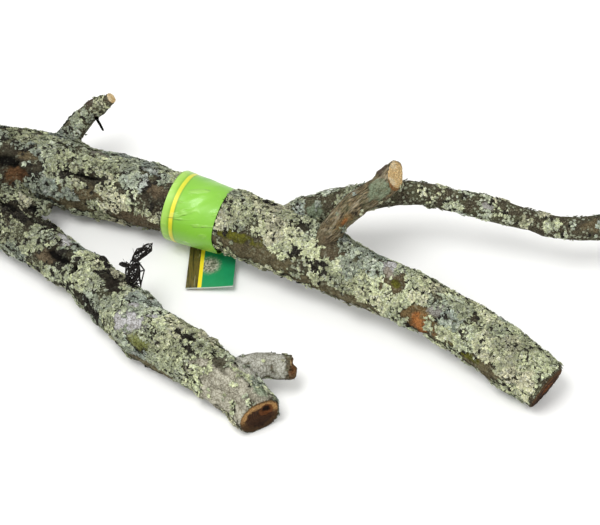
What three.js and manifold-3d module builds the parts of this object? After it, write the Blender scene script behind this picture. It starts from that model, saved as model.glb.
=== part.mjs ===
// A fallen, lichen-covered fruit-tree branch, sawn to length, with a card label wrapped round its
// upper limb. It lies on a flat surface. Millimetres, +Z up, +X along the limbs towards the tips,
// +Y from the lower limb across to the upper one. The origin is on the surface, under the middle of
// the branch's box.
import * as THREE from "three";
import Module from "manifold-3d";
import { mergeVertices } from "three/addons/utils/BufferGeometryUtils.js";

const wasm = await Module();
wasm.setup();

// Driving dimensions.
const GAP = 0.3; // between pieces that meet
const CARD = 0.6; // thickness of the label's card
const BAND_WIDTH = 45; // along the limb
const BAND_RADIUS = 28.2; // inside the wrap, at its middle
const BAND_FLARE = 2.4; // how much more its radius is at the butt end than at the other
const TAG_WIDTH = 39;
const TAG_LENGTH = 53.5; // from where the card leaves the wrap
const TAG_OFFSET = 5; // along the limb from the middle of the wrap

// Each limb has stations [x, y, z, radius] along its heart, butt end first, the number of facets
// round it and of rings along it, and a phase that makes its lumps its own.
const STEM = {
  sides: 24,
  rings: 52,
  phase: 0.4,
  stations: [
    [-366, 118, 31.5, 32.7],
    [-325, 109, 33, 34.2],
    [-287, 105, 33, 32.5],
    [-250, 102, 33, 30.4],
    [-212, 98, 31.5, 30.3],
    [-174, 84, 28.5, 29.4],
    [-136, 72, 29.5, 28.2],
    [-110, 60, 32, 27.5],
    [-79, 44, 34.5, 26.5],
    [-61, 37, 35.5, 26.7],
    [-24, 18, 37, 26],
    [12, -1, 37.5, 25.7],
    [47, -24, 36, 22.4],
    [82, -43, 34, 21.3],
    [116, -63, 31, 21],
    [150, -88, 26.5, 22],
    [176, -109, 22, 21.4],
    [192, -124, 17.5, 19],
    [206, -139, 14, 17.5],
  ],
};
const LOWER_LIMB = {
  sides: 20,
  rings: 36,
  phase: 1.9,
  stations: [
    [-332, 104, 36, 19],
    [-305, 81, 33, 22],
    [-266, 57, 30, 20.6],
    [-227, 32, 26.5, 19.8],
    [-192, 4, 24.5, 18.4],
    [-155, -28, 23.5, 20],
    [-137, -51, 24, 21.5],
    [-119, -71, 25, 23.3],
    [-91, -89, 23.5, 21.6],
    [-69, -105, 22, 20.3],
    [-46, -124, 20, 19.8],
    [-30, -145, 17, 18.3],
    [-19, -162, 16, 17.2],
  ],
};
const CROTCH = {
  sides: 16,
  rings: 10,
  phase: 2.2,
  stations: [
    [-302, 80, 32, 16],
    [-266, 68, 30, 16],
    [-238, 60, 29, 13],
    [-218, 56, 29, 9],
    [-204, 53, 30, 4.5],
  ],
};
const TOP_STUB = {
  sides: 14,
  rings: 9,
  phase: 2.6,
  stations: [
    [-203, 98, 28, 12],
    [-199, 113, 36, 10.8],
    [-187, 124, 50, 9.6],
    [-177, 130, 60, 9.1],
    [-164, 132, 71, 7.9],
    [-155, 132, 79, 6.2],
  ],
};
const STUB_TWIG = {
  sides: 8,
  rings: 4,
  phase: 4.4,
  stations: [
    [-171, 127, 67, 2],
    [-167, 121, 63, 1.7],
    [-162, 113, 59, 1.4],
  ],
};
const SIDE_TWIG = {
  sides: 14,
  rings: 38,
  phase: 3.7,
  stations: [
    [-12, 25, 36, 13.7],
    [0, 31, 46, 13.2],
    [18, 33, 54, 12.2],
    [36, 36, 59, 11.2],
    [57, 37, 63, 10.7],
    [84, 39, 66, 9.9],
    [119, 34, 63, 8.8],
    [147, 29, 58, 9.9],
    [179, 22, 53, 8.8],
    [203, 16, 50, 9.1],
    [231, 16, 48, 10.2],
    [252, 17, 49, 8.6],
    [272, 15, 50, 6.9],
  ],
};
const SPUR = {
  sides: 14,
  rings: 13,
  phase: 5.2,
  stations: [
    [4, -18, 32, 9.7],
    [14, -9, 48, 9.5],
    [29, 6, 66, 9.4],
    [40, 13, 75, 9.5],
    [53, 20, 83, 9.5],
    [64, 24, 89, 9.4],
    [85, 34, 105, 9.4],
  ],
};
const SPLIT_STUB = {
  sides: 14,
  rings: 8,
  phase: 6.1,
  stations: [
    [-56, -111, 20, 13],
    [-50, -107, 22, 13],
    [-29, -103, 25, 10.8],
    [-6, -107, 28, 9.9],
  ],
};
const DRIED_TUFT = {
  sides: 10,
  rings: 12,
  phase: 0,
  stations: [
    [-134, -36, 34, 5.4],
    [-130, -33, 43, 5.5],
    [-131, -29, 51, 4.4],
    [-130, -26, 57, 2.4],
    [-123, -24, 64, 4.6],
    [-118, -24, 69, 4.8],
    [-114, -25, 73, 3],
  ],
};

// Planes, each with a point on it and the way it faces: the fork where the butt becomes the upper
// limb, and the saw cuts.
const FORK_CUT = { at: [-262, 103, 33], along: [0.99, -0.13, 0] };
const STEM_SAW = { at: [188, -120, 20], along: [0.74, -0.64, -0.2] };
const LOWER_SAW = { at: [-30, -145, 17], along: [0.47, -0.88, 0.0] };
const SPUR_SAW = { at: [75.5, 28.5, 96], along: [0.76, -0.3, 0.57] };

// The wrap's middle and axis, and the plane of the tag.
const BAND_STATION = [-79, 44, 34.5];
const BAND_AXIS = new THREE.Vector3(0.895, -0.44, 0.06).normalize();
const TAG_FACE = new THREE.Vector3(0.126, 0, -1).normalize(); // the way its underside faces
const TAG_ACROSS = new THREE.Vector3(0.99, -0.055, 0.124).normalize();

const MATERIALS = {
  bark: new THREE.MeshStandardMaterial({ color: 0x6f705c, roughness: 0.92, metalness: 0 }),
  bareTwig: new THREE.MeshStandardMaterial({ color: 0x54503f, roughness: 0.88, metalness: 0 }),
  deadTuft: new THREE.MeshStandardMaterial({ color: 0x1f1d1c, roughness: 0.85, metalness: 0 }),
  limeCard: new THREE.MeshStandardMaterial({ color: 0x87c83a, roughness: 0.35, metalness: 0 }),
  greenCard: new THREE.MeshStandardMaterial({ color: 0x1f8a58, roughness: 0.35, metalness: 0 }),
};

function solidOf(geometry) {
  const bare = geometry.clone();
  bare.deleteAttribute("normal");
  bare.deleteAttribute("uv");
  const merged = mergeVertices(bare, 1e-4);
  return new wasm.Manifold(
    new wasm.Mesh({
      numProp: 3,
      vertProperties: merged.attributes.position.array,
      triVerts: new Uint32Array(merged.index.array),
    }),
  );
}

function geometryOf(solid) {
  const { numProp, numVert, vertProperties, triVerts } = solid.getMesh();
  const positions = new Float32Array(numVert * 3);
  for (let i = 0; i < numVert; i++) {
    positions.set(vertProperties.subarray(i * numProp, i * numProp + 3), i * 3);
  }
  const geometry = new THREE.BufferGeometry();
  geometry.setAttribute("position", new THREE.BufferAttribute(positions, 3));
  geometry.setIndex(new THREE.BufferAttribute(triVerts, 1));
  geometry.computeVertexNormals();
  return geometry;
}

// How far a limb's section departs from round: three slow waves that drift along it.
function lumpiness(turn, along, phase) {
  const oval = 0.03 * Math.cos(2 * turn + phase + 5 * along);
  const lobes = 0.018 * Math.cos(3 * turn - 2 * phase - 11 * along);
  const knots = 0.014 * Math.cos(turn + 3 * phase + 23 * along);
  return 1 + oval + lobes + knots;
}

// A cylinder bent along the stations, its radius following theirs, with flat closed ends.
function limb({ stations, sides, rings, phase }, grown = 0) {
  const heart = new THREE.CatmullRomCurve3(stations.map(([x, y, z]) => new THREE.Vector3(x, y, z)));
  const girth = new THREE.CatmullRomCurve3(stations.map(([, , , r]) => new THREE.Vector3(r, 0, 0)));
  girth.curveType = "catmullrom";
  const frames = [];
  let across = new THREE.Vector3(0, 0, 1);
  for (let i = 0; i <= rings; i++) {
    const tangent = heart.getTangent(i / rings);
    across = across.clone().addScaledVector(tangent, -across.dot(tangent)).normalize();
    frames.push({ across, third: across.clone().cross(tangent) });
  }
  const geometry = new THREE.CylinderGeometry(1, 1, 1, sides, rings);
  const position = geometry.attributes.position;
  const corner = new THREE.Vector3();
  for (let i = 0; i < position.count; i++) {
    corner.fromBufferAttribute(position, i);
    const along = corner.y + 0.5;
    const { across: u, third: v } = frames[Math.round(along * rings)];
    const turn = Math.atan2(corner.z, corner.x);
    const radius = girth.getPoint(along).x * lumpiness(turn, along, phase) + grown;
    const place = heart.getPoint(along);
    place.addScaledVector(u, corner.x * radius).addScaledVector(v, corner.z * radius);
    position.setXYZ(i, place.x, place.y, place.z);
  }
  return solidOf(geometry);
}

// A block that fills everything on the side of a plane that its normal points to.
function beyond({ at, along }) {
  const SIZE = 2000;
  const block = new THREE.BoxGeometry(SIZE, SIZE, SIZE);
  block.translate(0, 0, SIZE / 2);
  const normal = new THREE.Vector3(...along).normalize();
  const turn = new THREE.Quaternion().setFromUnitVectors(new THREE.Vector3(0, 0, 1), normal);
  block.applyQuaternion(turn);
  block.translate(...at);
  return solidOf(block);
}

function opposite({ at, along }) {
  const normal = new THREE.Vector3(...along).normalize();
  const back = new THREE.Vector3(...at).addScaledVector(normal, GAP);
  return { at: back.toArray(), along: normal.negate().toArray() };
}

// The largest piece of a solid, without the slivers that a cut can leave beside it.
function mainBody(solid) {
  return solid.decompose().reduce((best, body) => (body.volume() > best.volume() ? body : best));
}

// The wooden pieces and the tuft, each trimmed back from what it grows out of.
function branchSolids() {
  const ground = beyond({ at: [0, 0, 0], along: [0, 0, -1] });
  const pressed = bandSolid(GAP, BAND_RADIUS / 2);
  const stem = limb(STEM).subtract(beyond(STEM_SAW)).subtract(ground).subtract(pressed);
  const stemRoom = limb(STEM, GAP);
  const stubRoom = limb(TOP_STUB, GAP);
  const twigRoom = limb(SIDE_TWIG, GAP);
  const lowerRoom = limb(LOWER_LIMB, GAP);
  const forked = limb(LOWER_LIMB).add(limb(CROTCH));
  return {
    butt: stem.subtract(beyond(FORK_CUT)),
    upper_limb: stem.subtract(beyond(opposite(FORK_CUT))),
    lower_limb: forked.subtract(stemRoom).subtract(beyond(LOWER_SAW)).subtract(ground),
    top_stub: limb(TOP_STUB).subtract(stemRoom),
    stub_twig: limb(STUB_TWIG).subtract(stubRoom),
    side_twig: limb(SIDE_TWIG).subtract(stemRoom),
    sawn_spur: limb(SPUR).subtract(stemRoom).subtract(twigRoom).subtract(beyond(SPUR_SAW)),
    split_stub: limb(SPLIT_STUB).subtract(lowerRoom),
    dried_tuft: limb(DRIED_TUFT).subtract(lowerRoom),
  };
}

// The card wrap: a thin hoop round the limb, wider at its butt end. Grown inwards and outwards it is
// the room that the limb and the tag leave for it.
function bandSolid(inwards = 0, outwards = 0) {
  const end = BAND_WIDTH / 2 + Math.min(inwards, outwards);
  const radius = (height) => BAND_RADIUS - (BAND_FLARE / BAND_WIDTH) * height;
  const profile = [
    [radius(-end) - inwards, -end],
    [radius(-end) + CARD + outwards, -end],
    [radius(end) + CARD + outwards, end],
    [radius(end) - inwards, end],
    [radius(-end) - inwards, -end],
  ].map(([r, h]) => new THREE.Vector2(r, h));
  const hoop = new THREE.LatheGeometry(profile, 48);
  const turn = new THREE.Quaternion().setFromUnitVectors(new THREE.Vector3(0, 1, 0), BAND_AXIS);
  hoop.applyQuaternion(turn);
  hoop.translate(...BAND_STATION);
  return solidOf(hoop);
}

// The card's free end: a flat tongue that leaves the underside of the wrap along its tangent.
function tagSolid() {
  const leaves = new THREE.Vector3(...BAND_STATION);
  leaves.addScaledVector(TAG_FACE, BAND_RADIUS + CARD + GAP + BAND_FLARE / 4);
  leaves.addScaledVector(TAG_ACROSS, TAG_OFFSET);
  const across = TAG_ACROSS.clone().addScaledVector(TAG_FACE, -TAG_ACROSS.dot(TAG_FACE)).normalize();
  const away = TAG_FACE.clone().cross(across);
  const outline = new THREE.Shape();
  outline.moveTo(-TAG_WIDTH / 2, 0);
  outline.lineTo(TAG_WIDTH / 2, 0);
  outline.lineTo(TAG_WIDTH / 2, TAG_LENGTH);
  outline.lineTo(-TAG_WIDTH / 2, TAG_LENGTH);
  const card = new THREE.ExtrudeGeometry(outline, { depth: CARD, bevelEnabled: false });
  const place = new THREE.Matrix4().makeBasis(across, away, across.clone().cross(away));
  card.applyMatrix4(place.setPosition(leaves));
  return solidOf(card).subtract(bandSolid(BAND_RADIUS / 2, GAP));
}

function named(name, solid, material) {
  const mesh = new THREE.Mesh(geometryOf(mainBody(solid)), material);
  mesh.name = name;
  return mesh;
}

const branch = new THREE.Group();
const smallPieces = { stub_twig: MATERIALS.bareTwig, dried_tuft: MATERIALS.deadTuft };
for (const [name, solid] of Object.entries(branchSolids())) {
  branch.add(named(name, solid, smallPieces[name] ?? MATERIALS.bark));
}
branch.add(named("label_band", bandSolid(), MATERIALS.limeCard));
branch.add(named("label_tag", tagSolid(), MATERIALS.greenCard));

const box = new THREE.Box3().setFromObject(branch);
const middle = box.getCenter(new THREE.Vector3());
branch.position.set(-middle.x, -middle.y, -box.min.z);

export default branch;
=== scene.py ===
"""A fallen, lichen-covered fruit-tree branch with a card label, dressed around its CAD model.

Metres, +Z up. The bark is one skin grown over all the wooden nodes and then parted between them, so
that it runs on unbroken through the forks. Leafy lichen is built on it lobe by lobe.
"""
import math
from itertools import product

import bmesh
import bpy
import numpy as np
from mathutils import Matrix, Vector
from mathutils.bvhtree import BVHTree
from mathutils.kdtree import KDTree


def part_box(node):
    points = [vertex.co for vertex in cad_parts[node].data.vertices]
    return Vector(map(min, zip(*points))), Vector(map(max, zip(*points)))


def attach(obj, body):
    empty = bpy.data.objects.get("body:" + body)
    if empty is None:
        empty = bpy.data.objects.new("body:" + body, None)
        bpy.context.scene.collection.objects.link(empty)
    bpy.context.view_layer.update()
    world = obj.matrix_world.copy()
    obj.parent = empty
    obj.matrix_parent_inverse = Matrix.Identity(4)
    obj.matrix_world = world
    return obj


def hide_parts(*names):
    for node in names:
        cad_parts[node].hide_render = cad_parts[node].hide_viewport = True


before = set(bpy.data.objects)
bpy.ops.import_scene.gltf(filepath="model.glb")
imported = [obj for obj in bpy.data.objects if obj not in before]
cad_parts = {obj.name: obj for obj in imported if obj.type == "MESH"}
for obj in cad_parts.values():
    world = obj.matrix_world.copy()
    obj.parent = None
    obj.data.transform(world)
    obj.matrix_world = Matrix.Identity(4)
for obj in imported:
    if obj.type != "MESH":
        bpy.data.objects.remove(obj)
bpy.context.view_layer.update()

MM = 0.001
draw = np.random.default_rng(41)

WOOD = [
    "butt", "upper_limb", "lower_limb", "top_stub", "stub_twig", "side_twig", "sawn_spur", "split_stub",
]
GRAIN = 1.15 * MM  # size of the bark mesh's faces
SEAM = 0.2 * MM  # closes the gap that the wooden nodes keep between them
RING_WIDTH = 1.6 * MM  # between the rings on a sawn end
WRAP_ROOM = 0.9 * MM  # how far the bark is pressed in under the card
INSET = 1.3 * MM  # how far the bark lies inside the CAD surface, which the lichen's tips reach

# How rough each piece's bark is, and how much of it the lichen covers.
ROUGHNESS = {
    "butt": 1.3, "upper_limb": 1.1, "lower_limb": 1.5, "top_stub": 0.8,
    "stub_twig": 0.05, "side_twig": 0.5, "sawn_spur": 0.8, "split_stub": 0.6,
}
COVER = {
    "butt": 0.6, "upper_limb": 0.88, "lower_limb": 0.86, "top_stub": 0.6,
    "stub_twig": 0.0, "side_twig": 0.37, "sawn_spur": 0.04, "split_stub": 0.5,
}

# How far each piece's bark is dry brown fibre and not scaly.
FIBROUS = {
    "butt": 0.1, "upper_limb": 0.1, "lower_limb": 0.0, "top_stub": 0.2,
    "stub_twig": 0.3, "side_twig": 0.1, "sawn_spur": 1.0, "split_stub": 0.4,
}

# How much thicker than its CAD node, in mm, each piece's bark lies before its inset.
THICKER = dict.fromkeys(WOOD, 0.0) | {"side_twig": 0.9, "sawn_spur": 1.8}


# ------------------------------------------------------------------ tools
def activate(*objects):
    bpy.ops.object.select_all(action="DESELECT")
    for one in objects:
        one.select_set(True)
    bpy.context.view_layer.objects.active = objects[0]


def apply_modifier(obj, kind, **settings):
    activate(obj)
    bpy.ops.object.modifier_add(type=kind)
    modifier = obj.modifiers[-1]
    for name, value in settings.items():
        setattr(modifier, name, value)
    bpy.ops.object.modifier_apply(modifier=modifier.name)


def points_of(mesh):
    flat = np.empty(len(mesh.vertices) * 3)
    mesh.vertices.foreach_get("co", flat)
    return flat.reshape(-1, 3)


def normals_of(mesh):
    flat = np.empty(len(mesh.vertices) * 3)
    mesh.vertex_normals.foreach_get("vector", flat)
    return flat.reshape(-1, 3)


def move_points(mesh, points):
    mesh.vertices.foreach_set("co", points.ravel())
    mesh.update()


def triangles_of(mesh):
    mesh.calc_loop_triangles()
    flat = np.empty(len(mesh.loop_triangles) * 3, np.int32)
    mesh.loop_triangles.foreach_get("vertices", flat)
    return flat.reshape(-1, 3)


def new_piece(name, points, faces, smooth=True):
    mesh = bpy.data.meshes.new(name)
    mesh.from_pydata(points, [], faces)
    mesh.polygons.foreach_set("use_smooth", [smooth] * len(mesh.polygons))
    mesh.update()
    piece = bpy.data.objects.new(name, mesh)
    bpy.context.collection.objects.link(piece)
    return piece


def paint(mesh, name, values):
    """Stores four numbers a vertex for the material to read."""
    layer = mesh.attributes.new(name, "FLOAT_COLOR", "POINT")
    layer.data.foreach_set("color", np.asarray(values, np.float32).ravel())


def unit(vectors):
    vectors = np.asarray(vectors, float)
    return vectors / np.linalg.norm(vectors, axis=-1, keepdims=True)


def ease(low, high, values):
    """0 below low, 1 above high and smooth between them."""
    share = np.clip((values - low) / (high - low), 0, 1)
    return share * share * (3 - 2 * share)


def swell(points, size, seed):
    """Smooth noise from -1 to 1 that changes over about that size, in metres."""
    place = np.asarray(points) / size + 11.7 * seed
    cell = np.floor(place).astype(np.int64)
    inside = place - cell
    inside = inside * inside * (3 - 2 * inside)
    total = np.zeros(len(place))
    for corner in product((0, 1), repeat=3):
        x, y, z = (cell + corner).T
        mixed = (x * 73856093) ^ (y * 19349663) ^ (z * 83492791) ^ (seed * 2654435761)
        mixed = (mixed ^ (mixed >> 13)) * 1274126177
        value = ((mixed ^ (mixed >> 16)) & 0xFFFF) / 32767.5 - 1
        weight = np.prod(np.where(corner, inside, 1 - inside), axis=1)
        total += weight * value
    return total


# ------------------------------------------------------------------ places along the limbs
class Course:
    """The heart line of a limb, found from its CAD nodes. A place on its bark is given by how far
    along it lies, from 0 to 1, and by the turn round it: 0 degrees on top, 90 at the front."""

    def __init__(self, nodes, heading, slices=24):
        self.ahead = unit(heading)
        self.side = unit(np.cross(self.ahead, (0, 0, 1)))
        self.up = np.cross(self.side, self.ahead)
        skin = np.concatenate([points_of(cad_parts[node].data) for node in nodes])
        reach = skin @ self.ahead
        self.low, self.high = reach.min(), reach.max()
        steps = np.linspace(self.low, self.high, slices + 1)
        places, sides, heights = [], [], []
        for start, end in zip(steps[:-1], steps[1:]):
            ring = skin[(reach >= start) & (reach <= end)]
            if len(ring) > 5:
                across, above = ring @ self.side, ring @ self.up
                places.append((start + end) / 2)
                sides.append((across.min() + across.max()) / 2)
                heights.append((above.min() + above.max()) / 2)
        self.places, self.sides, self.heights = places, sides, heights

    def heart(self, reach):
        side = np.interp(reach, self.places, self.sides)
        height = np.interp(reach, self.places, self.heights)
        return np.multiply.outer(reach, self.ahead) + np.multiply.outer(side, self.side) \
            + np.multiply.outer(height, self.up)

    def spot(self, along, turn, skin):
        """The point of the skin there, and the way that the limb runs."""
        reach = self.low + along * (self.high - self.low)
        angle = math.radians(turn)
        outward = math.cos(angle) * self.up + math.sin(angle) * self.side
        heart = self.heart(reach)
        hit = skin.ray_cast(Vector(heart), Vector(outward))[0]
        step = 8 * MM
        return np.array(hit), unit(self.heart(reach + step) - self.heart(reach - step))

    def unrolled(self, points, squeeze=0.28):
        """Points with their distance along the limb squeezed, so that noise on them runs along it."""
        reach = points @ self.ahead
        return points - self.heart(reach) + np.multiply.outer(reach * squeeze, self.ahead)


COURSES = {
    "stem": Course(["butt", "upper_limb"], (1, 0, 0)),
    "lower": Course(["lower_limb"], (0.76, -0.65, 0)),
    "twig": Course(["side_twig"], (1, 0, 0)),
    "spur": Course(["sawn_spur"], (0.67, 0.43, 0.6), 8),
    "stub": Course(["top_stub"], (0.3, 0.3, 0.9), 8),
    "split": Course(["split_stub"], (1, 0, 0), 4),
}
COURSE_OF = {
    "butt": "stem", "upper_limb": "stem", "lower_limb": "lower", "top_stub": "stub",
    "stub_twig": "stub", "side_twig": "twig", "sawn_spur": "spur", "split_stub": "split",
}


def mark_kind(tone, cover, lichen, rise):
    """A colour and how strongly it covers, how much lichen it leaves, and how far it stands out or
    sinks in, in mm."""
    return {"tone": tone, "cover": cover, "lichen": lichen, "rise": rise}


# What marks the bark in places.
KINDS = {
    "bare": mark_kind("#7d7355", 0.75, 0.0, 0.2),
    "fibre": mark_kind("#6a5d48", 0.7, 0.05, 0.3),
    "black": mark_kind("#1a1815", 0.75, 0.62, -0.8),
    "slit": mark_kind("#0d0b0a", 1.0, 0.0, -4.0),
    # painted shadow: near-black in the creases at the fork, where the limbs shade each other
    "crease_shadow": mark_kind("#0c0a08", 1.0, 0.03, -4.5),
    # painted shade: dark patches round the fork and beside its creases, where the limbs shade each other;
    # the lichen lobes on them are made black too
    "painted_shade": mark_kind("#2d2922", 0.75, 0.4, -0.8),
    "knot": mark_kind("#68482d", 0.9, 0.0, -3.0),
    "eye": mark_kind("#4b4632", 0.85, 0.05, -2.0),
    "pale_bark": mark_kind("#c6c6ba", 0.9, 0.1, 0.0),
    "bump": mark_kind("#574740", 0.8, 0.1, 1.5),
    "silver": mark_kind("#a5a498", 0.7, 0.15, 0.2),
    "red_brown": mark_kind("#786852", 0.8, 0.0, 0.0),
    "olive": mark_kind("#66661f", 0.95, 0.04, 0.6),
    "moss": mark_kind("#8a9150", 0.8, 0.25, 0.8),
    "rust": mark_kind("#b5713a", 0.85, 0.0, 0.2),
    "chalk": mark_kind("#c3c2bd", 0.85, 0.12, 0.3),
    "lilac": mark_kind("#d6d5d6", 0.92, 0.16, 0.5),
    "smooth": mark_kind("#cbc7b4", 0.9, 0.06, 0.6),
    "green": mark_kind("#8c9f83", 0.75, 0.2, 0.3),
    "scar": mark_kind("#2b2621", 0.95, 0.0, -2.4),
    "tan": mark_kind("#7f7052", 0.7, 0.15, 0.0),
    "ochre": mark_kind("#9a7c4d", 0.7, 0.1, 0.0),
}

# Each mark: kind, limb, along, turn, half its length along the limb and half its width, in mm.
MARKS = [
    ("painted_shade", "stem", 0.235, 42, 26, 17),
    ("tan", "stem", 0.262, 26, 9, 5),
    ("knot", "stem", 0.244, 58, 9, 9),
    ("crease_shadow", "stem", 0.232, 38, 10, 6),
    ("painted_shade", "lower", 0.27, 4, 26, 12),
    ("painted_shade", "lower", 0.33, -40, 22, 9),
    ("crease_shadow", "lower", 0.262, -8, 27, 6),
    ("crease_shadow", "lower", 0.285, -60, 12, 6),
    ("painted_shade", "stem", 0.35, 38, 26, 6),
    ("crease_shadow", "stem", 0.335, 34, 14, 2.5),
    ("tan", "stem", 0.34, 62, 18, 7),
    ("bare", "stem", 0.33, 92, 24, 8),
    ("lilac", "lower", 0.40, -28, 9, 6),
    ("silver", "stem", 0.363, -29, 10, 7),
    ("painted_shade", "stem", 0.447, 34, 12, 14),
    ("red_brown", "stem", 0.449, 28, 7, 7),
    ("red_brown", "stem", 0.425, 92, 34, 11),
    ("bare", "stem", 0.58, 82, 34, 11),
    ("olive", "stem", 0.56, 64, 18, 5),
    ("bare", "stem", 0.70, 98, 50, 9),
    ("fibre", "stem", 0.69, 17, 12, 9),
    ("black", "stem", 0.618, -9, 7, 4),
    ("black", "stem", 0.655, -4, 6, 4),
    ("black", "stem", 0.641, 53, 5, 6),
    ("black", "stem", 0.668, 66, 10, 7),
    ("lilac", "stem", 0.774, -17, 8, 8),
    ("tan", "stem", 0.777, 16, 14, 10),
    ("olive", "stem", 0.777, 20, 4, 3),
    ("ochre", "stem", 0.805, 72, 15, 13),
    ("rust", "stem", 0.809, 82, 9, 9),
    ("chalk", "stem", 0.83, 34, 6, 6),
    ("bare", "stem", 0.88, 92, 26, 9),
    ("olive", "stem", 0.872, 86, 12, 4),
    ("slit", "stem", 0.90, 2, 3, 1.5),
    ("slit", "stem", 0.915, -8, 3, 1.5),
    ("painted_shade", "lower", 0.42, 26, 18, 9),
    ("red_brown", "lower", 0.39, 38, 8, 7),
    ("slit", "lower", 0.421, 24, 14, 4),
    ("slit", "lower", 0.475, 21, 2.5, 2.5),
    ("scar", "lower", 0.561, -12, 12, 8),
    ("black", "lower", 0.53, -14, 7, 7),
    ("lilac", "lower", 0.652, 27, 14, 13),
    ("moss", "lower", 0.703, 58, 12, 8),
    ("lilac", "lower", 0.693, -12, 7, 5),
    ("black", "lower", 0.774, -11, 9, 4),
    ("black", "lower", 0.80, 12, 9, 4),
    ("smooth", "lower", 0.915, 40, 30, 27),
    ("eye", "lower", 0.866, 0, 8, 6),
    ("green", "lower", 0.961, -24, 7, 6),
    ("black", "lower", 0.53, 78, 20, 6),
    ("bare", "lower", 0.73, 110, 30, 8),
    ("green", "twig", 0.086, 40, 7, 6),
    ("chalk", "twig", 0.563, 28, 5, 4),
    ("tan", "twig", 0.848, 25, 8, 6),
    ("ochre", "spur", 0.31, 50, 8, 4),
    ("rust", "spur", 0.296, 52, 3, 1.6),
    ("green", "spur", 0.72, 40, 9, 7),
    ("bump", "spur", 0.86, -50, 6, 6),
    ("pale_bark", "split", 0.5, 10, 17, 15),
    ("bump", "stub", 0.784, -47, 5, 4),
]


def flat_end(node, heading):
    """Middle, outward normal and radius of the node's largest flat face that looks that way."""
    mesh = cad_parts[node].data
    flats = {}
    for face in mesh.polygons:
        if face.normal.dot(Vector(unit(heading))) > 0.8:
            key = tuple(round(c * 50) for c in face.normal)
            flats.setdefault(key, []).append(face)
    faces = max(flats.values(), key=lambda group: sum(face.area for face in group))
    area = sum(face.area for face in faces)
    middle = sum((face.center * face.area for face in faces), Vector()) / area
    normal = sum((face.normal * face.area for face in faces), Vector()).normalized()
    return np.array(middle), np.array(normal), math.sqrt(area / math.pi)


# Sawn ends: how far rot has gone, from 0 for fresh wood to 1.
ENDS = {
    "butt": dict(heading=(-1, 0, 0), rot=0.6),
    "upper_limb": dict(heading=(0.74, -0.64, -0.2), rot=0.75),
    "lower_limb": dict(heading=(0.47, -0.88, 0), rot=1.0, hollow=(0.42, 0.0, 0.3)),
    "sawn_spur": dict(heading=(0.76, -0.3, 0.57), rot=0.0),
    "top_stub": dict(heading=(0.7, 0.1, 0.7), rot=0.1),
    "side_twig": dict(heading=(1, 0, 0), rot=0.5),
    "split_stub": dict(heading=(1, -0.1, 0), rot=0.6),
}
TORN = "split_stub"  # this one is broken off, and not sawn


# ------------------------------------------------------------------ the label's place
def band_place():
    """Middle, axis and the radius at each end of the card wrap."""
    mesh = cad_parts["label_band"].data
    areas = np.array([face.area for face in mesh.polygons])
    centres = np.array([face.center for face in mesh.polygons])
    middle = (centres * areas[:, None]).sum(0) / areas.sum()
    apart = centres - middle
    spread = (apart * areas[:, None]).T @ apart
    axis = np.linalg.eigh(spread)[1][:, 0]
    axis = axis if axis[0] > 0 else -axis
    corners = points_of(mesh) - middle
    height = corners @ axis
    radius = np.linalg.norm(corners - np.multiply.outer(height, axis), axis=1)
    half = (height.max() - height.min()) / 2
    middle = middle + axis * (height.max() + height.min()) / 2
    start = radius[height < height.min() + 5 * MM].max()
    end = radius[height > height.max() - 5 * MM].max()
    return middle, axis, half, start, end


band_middle, band_axis, band_half, band_start, band_end = band_place()


def under_wrap(points):
    """Which points lie under the card wrap, or just inside its edges."""
    apart = points - band_middle
    height = apart @ band_axis
    radius = np.linalg.norm(apart - np.multiply.outer(height, band_axis), axis=1)
    return (np.abs(height) < band_half + 1 * MM) & (radius < band_start + 3 * MM)


# ------------------------------------------------------------------ the bark's skin
def grow_skin():
    """One closed mesh over all the wooden nodes, with even faces and its forks run together."""
    copies = []
    for node in WOOD:
        copy = bpy.data.objects.new("bark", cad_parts[node].data.copy())
        bpy.context.collection.objects.link(copy)
        activate(copy)
        bpy.ops.object.mode_set(mode="EDIT")
        bpy.ops.mesh.select_all(action="SELECT")
        bpy.ops.mesh.remove_doubles(threshold=0.01 * MM)
        bpy.ops.object.mode_set(mode="OBJECT")
        apply_modifier(copy, "DISPLACE", strength=SEAM, mid_level=0)
        copies.append(copy)
    activate(*copies)
    bpy.ops.object.join()
    skin = copies[0]
    skin.data.materials.clear()
    apply_modifier(skin, "REMESH", mode="VOXEL", voxel_size=GRAIN)
    apply_modifier(skin, "SMOOTH", factor=0.5, iterations=6)
    return skin


def nearest_nodes(points):
    """The number in WOOD of the CAD node that each point lies nearest to."""
    corners, faces, owners = [], [], []
    for number, node in enumerate(WOOD):
        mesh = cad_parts[node].data
        start = len(corners)
        corners.extend(points_of(mesh))
        faces.extend(triangles_of(mesh) + start)
        owners.extend([number] * (len(faces) - len(owners)))
    tree = BVHTree.FromPolygons([Vector(c) for c in corners], [tuple(map(int, f)) for f in faces])
    return np.array([owners[tree.find_nearest(Vector(p))[2]] for p in points])


def per_node(owners, values):
    return np.array([values[node] for node in WOOD])[owners]


def unrolled(points, owners, squeeze=0.28):
    flat = np.zeros_like(points)
    for number, node in enumerate(WOOD):
        mine = owners == number
        flat[mine] = COURSES[COURSE_OF[node]].unrolled(points[mine], squeeze)
    return flat


def mark_shares(points, places):
    """How much of each mark lies on each point, as a row a mark."""
    warp = 0.45 * swell(points, 7 * MM, 13) + 0.35 * swell(points, 3 * MM, 5)
    warp += 0.2 * swell(points, 1.4 * MM, 6)
    shares = []
    for (kind, limb, along, turn, length, width), (middle, way) in zip(MARKS, places):
        apart = points - middle
        ahead = apart @ way
        across = np.sqrt(np.maximum((apart * apart).sum(1) - ahead * ahead, 0))
        reach = np.hypot(ahead / (length * MM), across / (width * MM))
        shares.append(1 - ease(0.75, 1.2, reach + warp))
    return np.array(shares)


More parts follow.
